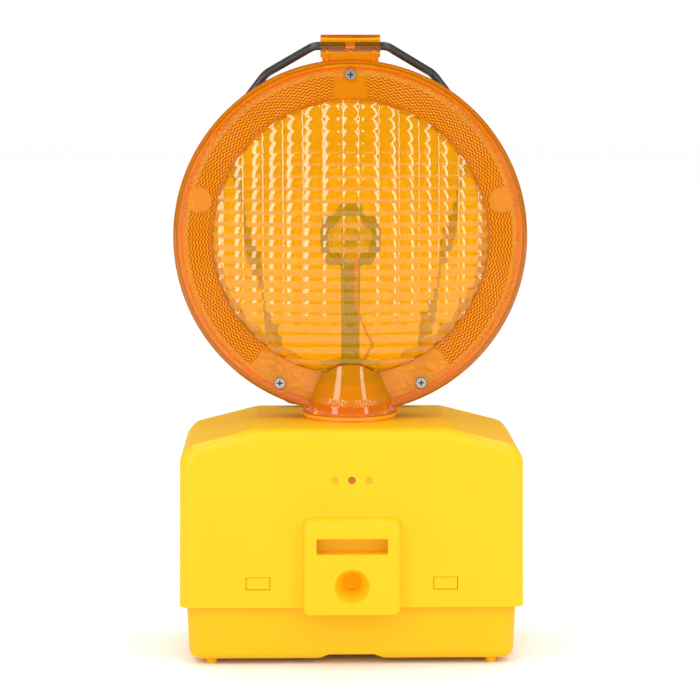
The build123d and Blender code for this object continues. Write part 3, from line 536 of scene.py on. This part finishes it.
def sphere_cap(edge_radius, edge_y, middle_y):
    """(radius, centre y) of the sphere through the dome's edge and middle, bulging to -Y."""
    rise = edge_y - middle_y
    radius = (edge_radius**2 + rise**2) / (2 * rise)
    return radius, middle_y + radius


def cap_y(cap, distance):
    """Where the dome lies at that distance from its axis."""
    radius, centre = cap
    return centre - math.sqrt(radius**2 - min(distance, 0.95 * radius) ** 2)


# ---------------------------------------------------------------- settings


def metres(name, description, default):
    return bpy.props.FloatProperty(
        name=name, description=description, default=default, unit="LENGTH", subtype="DISTANCE", precision=5
    )


def tint(name, description, default):
    return bpy.props.FloatVectorProperty(
        name=name, description=description, default=default, subtype="COLOR", size=3, min=0.0, max=1.0
    )


class WarningLightOptics(bpy.types.PropertyGroup):
    """Sizes of the lens optics and the prism bands."""

    optic_radius: metres("Optic radius", "Radius of the domed optic", 73.95 * MM)
    dome_middle: metres("Dome middle", "How far the dome's middle stands forward", 32.0 * MM)
    dome_edge: metres("Dome edge", "How far the dome's edge stands forward", 14.0 * MM)
    wall: metres("Wall", "Thickness of the optic", 2.4 * MM)
    pillow_width: metres("Pillow width", "Width of one pillow", 10.4 * MM)
    pillow_height: metres("Pillow height", "Height of one pillow", 6.5 * MM)
    pillow_bend: metres("Pillow bend", "Radius of a pillow across", 15.0 * MM)
    pillow_roll: metres("Pillow roll", "Radius of a pillow along", 6.7 * MM)
    ring_pitch: metres("Ring pitch", "Distance between two rings inside the optic", 2.9 * MM)
    band_inner: metres("Band inner radius", "Where the prism band starts", 75.0 * MM)
    band_outer: metres("Band outer radius", "Where the prism band ends", 86.8 * MM)
    band_face: metres("Band face", "How far the band's face stands forward", 12.75 * MM)
    prism_pitch: metres("Prism pitch", "Distance between two prisms", 1.7 * MM)
    prism_rise: metres("Prism rise", "Height of one prism", 0.5 * MM)


class WarningLightColours(bpy.types.PropertyGroup):
    """Colours of the finishes."""

    hood: tint("Hood", "Yellow of the hood", (0.96, 0.545, 0.008))
    tray: tint("Tray", "Yellow of the tray", (0.95, 0.5, 0.006))
    optic: tint("Optic", "Amber of the optics", (1.0, 0.55, 0.001))
    amber: tint("Amber", "Amber of the half shells", (1.0, 0.42, 0.0005))
    amber_deep: tint("Deep amber", "Amber of the thick rim", (1.0, 0.31, 0.0005))
    amber_bright: tint("Bright amber", "Amber of the stippled spots", (1.0, 0.6, 0.004))
    prism: tint("Prism", "Brown orange of the prism band", (0.46, 0.095, 0.001))
    # Colour of the painted highlights on the prism band.
    prism_painted_highlight: tint("Prism light", "Bright faces of the prism band", (0.95, 0.36, 0.002))
    rod: tint("Rod", "Black of the bail", (0.05, 0.046, 0.044))
    jacket: tint("Battery jacket", "Blue of the battery jackets", (0.03, 0.1, 0.3))
    board: tint("Board", "Green of the control board", (0.02, 0.16, 0.07))


class WarningLightStudio(bpy.types.PropertyGroup):
    """Floor, light and camera."""

    floor: tint("Floor", "Colour of the floor", (1.0, 1.0, 1.0))
    eye: bpy.props.FloatVectorProperty(
        name="Eye", description="Where the camera stands", default=(-28 * MM, -1344 * MM, 328.6 * MM),
        subtype="TRANSLATION", unit="LENGTH", size=3,
    )
    aim: bpy.props.FloatVectorProperty(
        name="Aim", description="What the camera looks at", default=(0.0, 0.0, 164.4 * MM),
        subtype="TRANSLATION", unit="LENGTH", size=3,
    )
    lens: bpy.props.FloatProperty(name="Lens", description="Focal length in millimetres", default=128.0)
    fill: bpy.props.FloatProperty(name="Fill", description="Brightness of the room", default=1.06, min=0.0)
    gloss_fill: bpy.props.FloatProperty(
        name="Gloss fill", description="Brightness of the room in reflections", default=0.12, min=0.0
    )
    backlight: bpy.props.FloatProperty(
        name="Backlight", description="Extra brightness of the room through clear parts", default=0.7,
        min=0.0,
    )
    softbox: bpy.props.FloatProperty(
        name="Softbox", description="Power of each softbox", default=7.0, min=0.0
    )
    sheen: bpy.props.FloatProperty(
        name="Sheen", description="Brightness of the softboxes in gloss", default=7.5, min=0.0
    )


# ---------------------------------------------------------------- operators


class WARNINGLIGHT_OT_case(bpy.types.Operator):
    """Satin yellow finishes of the hood, its plugs and the tray"""

    bl_idname = "warninglight.case"
    bl_label = "Finish Case"

    def execute(self, context):
        colours = context.scene.warning_light_colours
        yellow = moulded("hood_yellow", tuple(colours.hood), 0.42)
        dress(yellow, "hood_yellow")
        # Painted glow: the bolt sleeve gets a lighter yellow than the hood and a faint orange emission so
        # that its deep bore reads lit; the plastic gives no light.
        sleeve_painted_glow = moulded(
            "sleeve_yellow_painted_glow", (1.0, 0.6, 0.01), 0.4,
            Emission_Color=(0.85, 0.3, 0.002, 1.0), Emission_Strength=0.4,
        )
        dress_node(sleeve_painted_glow, "bolt_sleeve")
        dress(moulded("tray_yellow", tuple(colours.tray), 0.46), "tray_yellow")
        return {"FINISHED"}


class WARNINGLIGHT_OT_shells(bpy.types.Operator):
    """Clear amber half shells of the head, opened where the optics sit"""

    bl_idname = "warninglight.shells"
    bl_label = "Make Lens Shells"

    def cutter(self, sizes):
        """A dome-shaped slab a little thicker than the wall that it takes out."""
        outer = sphere_cap(sizes.optic_radius, -sizes.dome_edge, -sizes.dome_middle)
        rings = [sizes.optic_radius * step / CUTTER_RINGS for step in range(CUTTER_RINGS + 1)]
        front = [(r, cap_y(outer, r) - CUTTER_SPARE) for r in rings]
        back = [(r, cap_y(outer, r) + sizes.wall + CUTTER_SPARE) for r in reversed(rings)]
        points = [(r, y, LENS_Z) for r, y in front + back]
        mesh = bpy.data.meshes.new("dome_cutter")
        mesh.from_pydata(points, [(i, i + 1) for i in range(len(points) - 1)], [])
        made = bpy.data.objects.new("dome_cutter", mesh)
        bpy.context.collection.objects.link(made)
        take(made)
        bpy.ops.object.mode_set(mode="EDIT")
        bpy.ops.mesh.select_all(action="SELECT")
        bpy.ops.mesh.spin(steps=CUTTER_TURNS, angle=2 * math.pi, center=(0, 0, LENS_Z), axis=(0, 1, 0))
        bpy.ops.mesh.select_all(action="SELECT")
        bpy.ops.mesh.remove_doubles(threshold=0.005 * MM)
        bpy.ops.mesh.normals_make_consistent(inside=False)
        bpy.ops.object.mode_set(mode="OBJECT")
        return made

    def shell(self, node, name, cutter, material, tube):
        """A copy of the half shell with the dome cut out and clear faces on the bail's tube."""
        made = frame["nodes"][node].copy()
        made.data = made.data.copy()
        made.name = name
        made.data.name = name
        for key in [key for key in made.keys() if key.startswith("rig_")]:
            del made[key]
        bpy.context.collection.objects.link(made)
        made.parent = None
        take(made)
        bpy.ops.object.mode_set(mode="EDIT")
        bpy.ops.mesh.select_all(action="SELECT")
        bpy.ops.mesh.customdata_custom_splitnormals_clear()
        bpy.ops.mesh.remove_doubles(threshold=0.002 * MM)
        bpy.ops.object.mode_set(mode="OBJECT")
        cut = made.modifiers.new("Cut", "BOOLEAN")
        cut.operation = "DIFFERENCE"
        cut.solver = "EXACT"
        cut.object = cutter
        apply_all(made)
        wear(made, material)
        made.data.materials.append(tube)
        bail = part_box("handle")[1].z
        if pick_faces(made, lambda centre, normal: centre.z > bail - TUBE_REACH) > 0:
            made.active_material_index = 1
            bpy.ops.object.material_slot_assign()
        bpy.ops.object.mode_set(mode="OBJECT")
        smooth(made, 24.0)
        register_piece(made, "head", SLOT_OF[node], node)
        return made

    def execute(self, context):
        sizes = context.scene.warning_light_optics
        colours = context.scene.warning_light_colours
        material = amber_shell(
            "amber_shell", tuple(colours.amber), tuple(colours.amber_deep), tuple(colours.amber_bright)
        )
        tube = glossy("amber_tube", tuple(colours.amber), 0.02, 4.0, Transmission_Weight=0.93)
        front_cutter = self.cutter(sizes)
        rear_cutter = twin(front_cutter, "rear_dome_cutter")
        self.shell("lens_front", "lens_front_shell", front_cutter, material, tube)
        self.shell("lens_rear", "lens_rear_shell", rear_cutter, material, tube)
        for cutter in (front_cutter, rear_cutter):
            bpy.data.objects.remove(cutter, do_unlink=True)
        return {"FINISHED"}


class WARNINGLIGHT_OT_optics(bpy.types.Operator):
    """Domed optics: rows of pillows outside, stepped rings inside"""

    bl_idname = "warninglight.optics"
    bl_label = "Make Optics"

    def execute(self, context):
        sizes = context.scene.warning_light_optics
        colours = context.scene.warning_light_colours
        outer = sphere_cap(sizes.optic_radius, -sizes.dome_edge, -sizes.dome_middle)
        limit = sizes.optic_radius - 0.05 * MM
        columns = 2 * math.ceil(limit / sizes.pillow_width - 0.5) + 1
        rows = 2 * math.ceil(limit / sizes.pillow_height)
        clear_selection()
        bpy.ops.mesh.primitive_grid_add(
            x_subdivisions=columns * ACROSS, y_subdivisions=rows * ALONG, size=1.0,
            location=(0, 0, 0), rotation=(math.pi / 2, 0, 0),
        )
        front = bpy.context.object
        front.name = "lens_front_optic"
        front.data.name = "lens_front_optic"
        front.scale = (columns * sizes.pillow_width, rows * sizes.pillow_height, 1.0)
        settle(front)
        for point in front.data.vertices:
            across = (point.co.x / sizes.pillow_width + 0.5) % 1.0 - 0.5
            along = (point.co.z / sizes.pillow_height) % 1.0 - 0.5
            crown = (sizes.pillow_width * across) ** 2 / (2 * sizes.pillow_bend)
            crown += (sizes.pillow_height * along) ** 2 / (2 * sizes.pillow_roll)
            point.co.y += crown
            distance = math.hypot(point.co.x, point.co.z)
            if distance > limit:
                point.co.x *= limit / distance
                point.co.z *= limit / distance
        self.drop_outside(front, limit)
        self.add_inner_face(front, limit, sizes.wall)
        for point in front.data.vertices:
            point.co.y += cap_y(outer, math.hypot(point.co.x, point.co.z))
            point.co.z += LENS_Z
        base = tuple(colours.optic)
        front.data.materials.append(amber_pillow("amber_pillow", base))
        front.data.materials.append(amber_rings("amber_rings", base, sizes.ring_pitch))
        smooth(front, 40.0)
        rear = twin(front, "lens_rear_optic")
        register_piece(front, "head", "amber_lens", "lens_front")
        register_piece(rear, "head", "amber_lens", "lens_rear")
        return {"FINISHED"}

    def drop_outside(self, obj, limit):
        """Removes the faces that lie wholly on the round border."""
        take(obj)
        edge = limit - 0.004 * MM
        corners = obj.data.vertices
        flat = [
            all(math.hypot(corners[i].co.x, corners[i].co.z) > edge for i in face.vertices)
            for face in obj.data.polygons
        ]
        bpy.ops.object.mode_set(mode="EDIT")
        bpy.ops.mesh.select_mode(type="FACE")
        bpy.ops.mesh.select_all(action="DESELECT")
        bpy.ops.object.mode_set(mode="OBJECT")
        obj.data.polygons.foreach_set("select", flat)
        bpy.ops.object.mode_set(mode="EDIT")
        bpy.ops.mesh.delete(type="FACE")
        bpy.ops.mesh.select_all(action="SELECT")
        bpy.ops.mesh.remove_doubles(threshold=0.02 * MM)
        bpy.ops.mesh.delete_loose()
        bpy.ops.object.mode_set(mode="OBJECT")

    def add_inner_face(self, obj, limit, wall):
        """Closes the sheet with a smooth inner face, on the second material."""
        take(obj)
        bpy.ops.object.mode_set(mode="EDIT")
        bpy.ops.mesh.select_mode(type="FACE")
        bpy.ops.mesh.select_all(action="SELECT")
        bpy.ops.mesh.extrude_region_move(TRANSFORM_OT_translate={"value": (0, 0.1, 0)})
        bpy.ops.object.mode_set(mode="OBJECT")
        for point in obj.data.vertices:
            if point.co.y > 0.05:
                point.co.y = wall
        corners = obj.data.vertices
        for face in obj.data.polygons:
            inner = all(corners[i].co.y > wall - 0.001 * MM for i in face.vertices)
            face.material_index = 1 if inner else 0
        bpy.ops.object.mode_set(mode="EDIT")
        bpy.ops.mesh.select_all(action="SELECT")
        bpy.ops.mesh.normals_make_consistent(inside=False)
        bpy.ops.object.mode_set(mode="OBJECT")


class WARNINGLIGHT_OT_bands(bpy.types.Operator):
    """Reflector bands of tiny prisms round both optics"""

    bl_idname = "warninglight.bands"
    bl_label = "Make Prism Bands"

    def execute(self, context):
        sizes = context.scene.warning_light_optics
        colours = context.scene.warning_light_colours
        width = sizes.band_outer - sizes.band_inner
        rows = round(width / sizes.prism_pitch)
        middle = (sizes.band_outer + sizes.band_inner) / 2
        steps = round(middle * (BAND_END - BAND_START) / sizes.prism_pitch)
        clear_selection()
        bpy.ops.mesh.primitive_grid_add(
            x_subdivisions=rows, y_subdivisions=1, size=width, location=(0, 0, 0)
        )
        front = bpy.context.object
        front.name = "lens_front_band"
        front.data.name = "lens_front_band"
        bpy.ops.object.mode_set(mode="EDIT")
        bpy.ops.mesh.select_mode(type="VERT")
        bpy.ops.mesh.select_all(action="DESELECT")
        bpy.ops.object.mode_set(mode="OBJECT")
        for point in front.data.vertices:
            point.select = point.co.y > 0
        bpy.ops.object.mode_set(mode="EDIT")
        bpy.ops.mesh.delete(type="VERT")
        bpy.ops.object.mode_set(mode="OBJECT")
        for point in front.data.vertices:
            distance = point.co.x + middle
            point.co = (
                distance * math.cos(BAND_START),
                -sizes.band_face,
                LENS_Z + distance * math.sin(BAND_START),
            )
        take(front)
        bpy.ops.object.mode_set(mode="EDIT")
        bpy.ops.mesh.select_all(action="SELECT")
        bpy.ops.mesh.spin(
            steps=steps, angle=BAND_END - BAND_START, center=(0, 0, LENS_Z), axis=(0, 1, 0)
        )
        bpy.ops.object.mode_set(mode="OBJECT")
        self.open_pads(front)
        bpy.ops.mesh.select_all(action="SELECT")
        bpy.ops.mesh.extrude_region_move(TRANSFORM_OT_translate={"value": (0, BAND_THICKNESS, 0)})
        bpy.ops.mesh.select_all(action="SELECT")
        bpy.ops.mesh.normals_make_consistent(inside=False)
        faces = pick_faces(front, lambda centre, normal: normal.y < -0.9)
        if faces < LEAST_BAND_FACES:
            raise RuntimeError("the prism band has too few faces")
        bpy.ops.mesh.poke(offset=sizes.prism_rise)
        bpy.ops.object.mode_set(mode="OBJECT")
        front.data.materials.append(
            prism_plastic("prism_amber", tuple(colours.prism), tuple(colours.prism_painted_highlight), sizes.prism_pitch)
        )
        rear = twin(front, "lens_rear_band")
        register_piece(front, "head", "amber_lens", "lens_front")
        register_piece(rear, "head", "amber_lens", "lens_rear")
        return {"FINISHED"}

    def open_pads(self, obj):
        """Leaves the top screw's pad and the two round pads free."""
        pads = [(PAD_RING * math.cos(a), PAD_RING * math.sin(a)) for a in map(math.radians, PAD_ANGLES)]

        def covered(centre, normal):
            rise = centre.z - LENS_Z
            top = abs(centre.x) < TOP_PAD_HALF_WIDTH and rise > TOP_PAD_FROM
            return top or any(math.hypot(centre.x - x, rise - z) < PAD_FREE for x, z in pads)

        if pick_faces(obj, covered) == 0:
            raise RuntimeError("the pads don't meet the prism band")
        bpy.ops.mesh.delete(type="FACE")


class WARNINGLIGHT_OT_lamp(bpy.types.Operator):
    """Finishes of the post, the lamp board, the diodes and the seals"""

    bl_idname = "warninglight.lamp"
    bl_label = "Finish Lamp"

    def execute(self, context):
        colours = context.scene.warning_light_colours
        dress(moulded("black_plastic", (0.035, 0.033, 0.032), 0.45), "black_plastic")
        dress(moulded("turret_plastic", (0.95, 0.42, 0.01), 0.35), "turret_plastic")
        dress(circuit_board("board_white", (0.78, 0.78, 0.74), (0.75, 0.66, 0.5)), "board_white")
        dress(glossy("led_plastic", (0.95, 0.82, 0.45), 0.1, Transmission_Weight=0.55), "led_plastic")
        dress(rubber("black_rubber", (0.03, 0.03, 0.03)), "black_rubber")
        dress_node(glossy("amber_silicone", (1.0, 0.42, 0.02), 0.35, Transmission_Weight=0.5), "lens_seal")
        dress_node(moulded("post_plastic", (0.07, 0.05, 0.035), 0.5), "led_post")
        dress(window_plastic("window_plastic", (0.9, 0.42, 0.01), (0.52, 0.13, 0.004)), "clear_plastic")
        seal = glossy("turret_seal", tuple(colours.amber_deep), 0.4)
        dress_node(seal, "turret_seal")
        return {"FINISHED"}


class WARNINGLIGHT_OT_bail(bpy.types.Operator):
    """Black coated finish of the rod bail"""

    bl_idname = "warninglight.bail"
    bl_label = "Finish Bail"

    def execute(self, context):
        dress(coated_rod("rod_black", tuple(context.scene.warning_light_colours.rod)), "rod_black")
        return {"FINISHED"}


class WARNINGLIGHT_OT_hardware(bpy.types.Operator):
    """Finishes of the screws, springs, sleeve and brass parts"""

    bl_idname = "warninglight.hardware"
    bl_label = "Finish Hardware"

    def execute(self, context):
        dress(metal("zinc_steel", (0.66, 0.68, 0.7), 0.24), "zinc_steel")
        dress(metal("brass", (0.72, 0.5, 0.2), 0.2), "brass")
        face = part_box("lens_screws")[0].y
        dress_node(screw_zinc("lens_screw_zinc", (0.55, 0.56, 0.58), face, SCREW_RECESS), "lens_screws")
        return {"FINISHED"}


class WARNINGLIGHT_OT_electrics(bpy.types.Operator):
    """Finishes of the control board, its parts, the wires and the batteries"""

    bl_idname = "warninglight.electrics"
    bl_label = "Finish Electrics"

    def execute(self, context):
        colours = context.scene.warning_light_colours
        dress(circuit_board("board_green", tuple(colours.board), (0.7, 0.6, 0.35)), "board_green")
        dress(glossy("sensor", (0.5, 0.14, 0.05), 0.12), "sensor")
        dress(glossy("red_wire", (0.62, 0.03, 0.02), 0.3), "red_wire")
        dress(glossy("black_wire", (0.025, 0.025, 0.025), 0.3), "black_wire")
        dress(moulded("slider_white", (0.78, 0.78, 0.75), 0.4), "slider_white")
        dress(glossy("battery_jacket", tuple(colours.jacket), 0.25, 3.0), "battery_jacket")
        return {"FINISHED"}


class WARNINGLIGHT_OT_studio(bpy.types.Operator):
    """Pale floor, soft studio light and the camera"""

    bl_idname = "warninglight.studio"
    bl_label = "Set Up Studio"

    def floor(self, settings):
        clear_selection()
        bpy.ops.mesh.primitive_grid_add(x_subdivisions=8, y_subdivisions=8, size=14.0, location=(0, 0, 0))
        made = bpy.context.object
        made.name = "studio_floor"
        ground = Finish("floor_paint", IOR=1.4, Specular_IOR_Level=0.2)
        base = tuple(settings.floor)
        ground.paint(ground.mix(ground.noise(120 * MM, 3.0), base, tone(base, 0.995)))
        ground.rough(0.7 + ground.noise(30 * MM) * 0.1)
        ground.relief(ground.noise(4 * MM), 0.05 * MM, 0.2)
        made.data.materials.append(ground.material)
        made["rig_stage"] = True

    def world(self, settings):
        """White room, darker in reflections and brighter through clear parts."""
        world = bpy.data.worlds.new("studio_room")
        bpy.context.scene.world = world
        world.use_nodes = True
        tree = world.node_tree
        background = tree.nodes["Background"]
        background.inputs["Color"].default_value = (1.0, 1.0, 1.0, 1.0)
        path = tree.nodes.new("ShaderNodeLightPath")
        level = tree.nodes.new("ShaderNodeMapRange")
        level.inputs["To Min"].default_value = settings.fill
        level.inputs["To Max"].default_value = settings.gloss_fill
        tree.links.new(path.outputs["Is Glossy Ray"], level.inputs["Value"])
        through = tree.nodes.new("ShaderNodeMath")
        through.operation = "MULTIPLY_ADD"
        through.inputs[1].default_value = settings.backlight
        tree.links.new(path.outputs["Is Transmission Ray"], through.inputs[0])
        tree.links.new(level.outputs[0], through.inputs[2])
        tree.links.new(through.outputs[0], background.inputs["Strength"])

    def softbox(self, name, place, aim, width, height, power, gloss):
        light = bpy.data.lights.new(name, "AREA")
        light.shape = "RECTANGLE"
        light.size = width
        light.size_y = height
        light.energy = power
        made = bpy.data.objects.new(name, light)
        bpy.context.collection.objects.link(made)
        made.location = place
        made.rotation_euler = (Vector(aim) - Vector(place)).to_track_quat("-Z", "Y").to_euler()
        made.visible_camera = False
        made.visible_transmission = gloss
        made.visible_diffuse = not gloss
        made.visible_glossy = gloss
        return made

    def execute(self, context):
        settings = context.scene.warning_light_studio
        self.floor(settings)
        self.world(settings)
        low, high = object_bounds()
        middle = (low + high) / 2
        distance, height, lift = 0.62, 1.6, 0.84
        for side, name, width in ((-1, "left", 0.21), (1, "right", 0.13)):
            turn = SOFTBOX_TURN * side
            place = (distance * math.sin(turn), -distance * math.cos(turn), lift)
            lean = (LEAN * place[0], LEAN * place[1], lift - DROP)
            radiance = settings.sheen * math.pi * width * height
            self.softbox(f"softbox_{name}_gloss", place, lean, width, height, radiance, True)
            soft_place = (FAR * place[0], FAR * place[1], SOFT_HEIGHT)
            self.softbox(f"softbox_{name}", soft_place, middle, 1.0, 1.0, settings.softbox, False)
        for side, name in ((-1, "left"), (1, "right")):
            place = (0.37 * side, 0.5, high.z + 0.75)
            top = (0, 0, high.z - 0.05)
            power = EDGE_SHARE * settings.sheen
            light = self.softbox(f"edge_light_{name}", place, top, 0.22, 0.3, power, True)
            light.visible_transmission = False
        power = TOP_SHARE * settings.softbox
        self.softbox("top_light", (0.0, -0.2, 2.4), (0, 0, 0), 2.4, 2.4, power, False)
        camera = bpy.data.cameras.new("studio_camera")
        camera.lens = settings.lens
        camera.sensor_width = 36.0
        made = bpy.data.objects.new("studio_camera", camera)
        context.collection.objects.link(made)
        made.location = settings.eye
        view = Vector(settings.aim) - Vector(settings.eye)
        made.rotation_euler = view.to_track_quat("-Z", "Y").to_euler()
        context.scene.camera = made
        context.scene.view_settings.view_transform = "Standard"
        return {"FINISHED"}


OPERATORS = (
    WARNINGLIGHT_OT_case,
    WARNINGLIGHT_OT_shells,
    WARNINGLIGHT_OT_optics,
    WARNINGLIGHT_OT_bands,
    WARNINGLIGHT_OT_lamp,
    WARNINGLIGHT_OT_bail,
    WARNINGLIGHT_OT_hardware,
    WARNINGLIGHT_OT_electrics,
    WARNINGLIGHT_OT_studio,
)
SETTINGS = {
    "warning_light_optics": WarningLightOptics,
    "warning_light_colours": WarningLightColours,
    "warning_light_studio": WarningLightStudio,
}


class WARNINGLIGHT_PT_panel(bpy.types.Panel):
    """Steps and settings of the warning light"""

    bl_idname = "WARNINGLIGHT_PT_panel"
    bl_label = "Warning Light"
    bl_space_type = "VIEW_3D"
    bl_region_type = "UI"
    bl_category = "Warning Light"

    def draw(self, context):
        for operator in OPERATORS:
            self.layout.operator(operator.bl_idname)
        for name, group in SETTINGS.items():
            box = self.layout.box()
            box.label(text=group.__doc__)
            for key in group.__annotations__:
                box.prop(getattr(context.scene, name), key)


def register():
    for group in SETTINGS.values():
        bpy.utils.register_class(group)
    for name, group in SETTINGS.items():
        setattr(bpy.types.Scene, name, bpy.props.PointerProperty(type=group))
    for operator in OPERATORS:
        bpy.utils.register_class(operator)
    bpy.utils.register_class(WARNINGLIGHT_PT_panel)


def unregister():
    bpy.utils.unregister_class(WARNINGLIGHT_PT_panel)
    for operator in reversed(OPERATORS):
        bpy.utils.unregister_class(operator)
    for name in SETTINGS:
        delattr(bpy.types.Scene, name)
    for group in SETTINGS.values():
        bpy.utils.unregister_class(group)


def main():
    register()
    for operator in OPERATORS:
        family, name = operator.bl_idname.split(".")
        getattr(getattr(bpy.ops, family), name)()


if __name__ == "__main__":
    main()
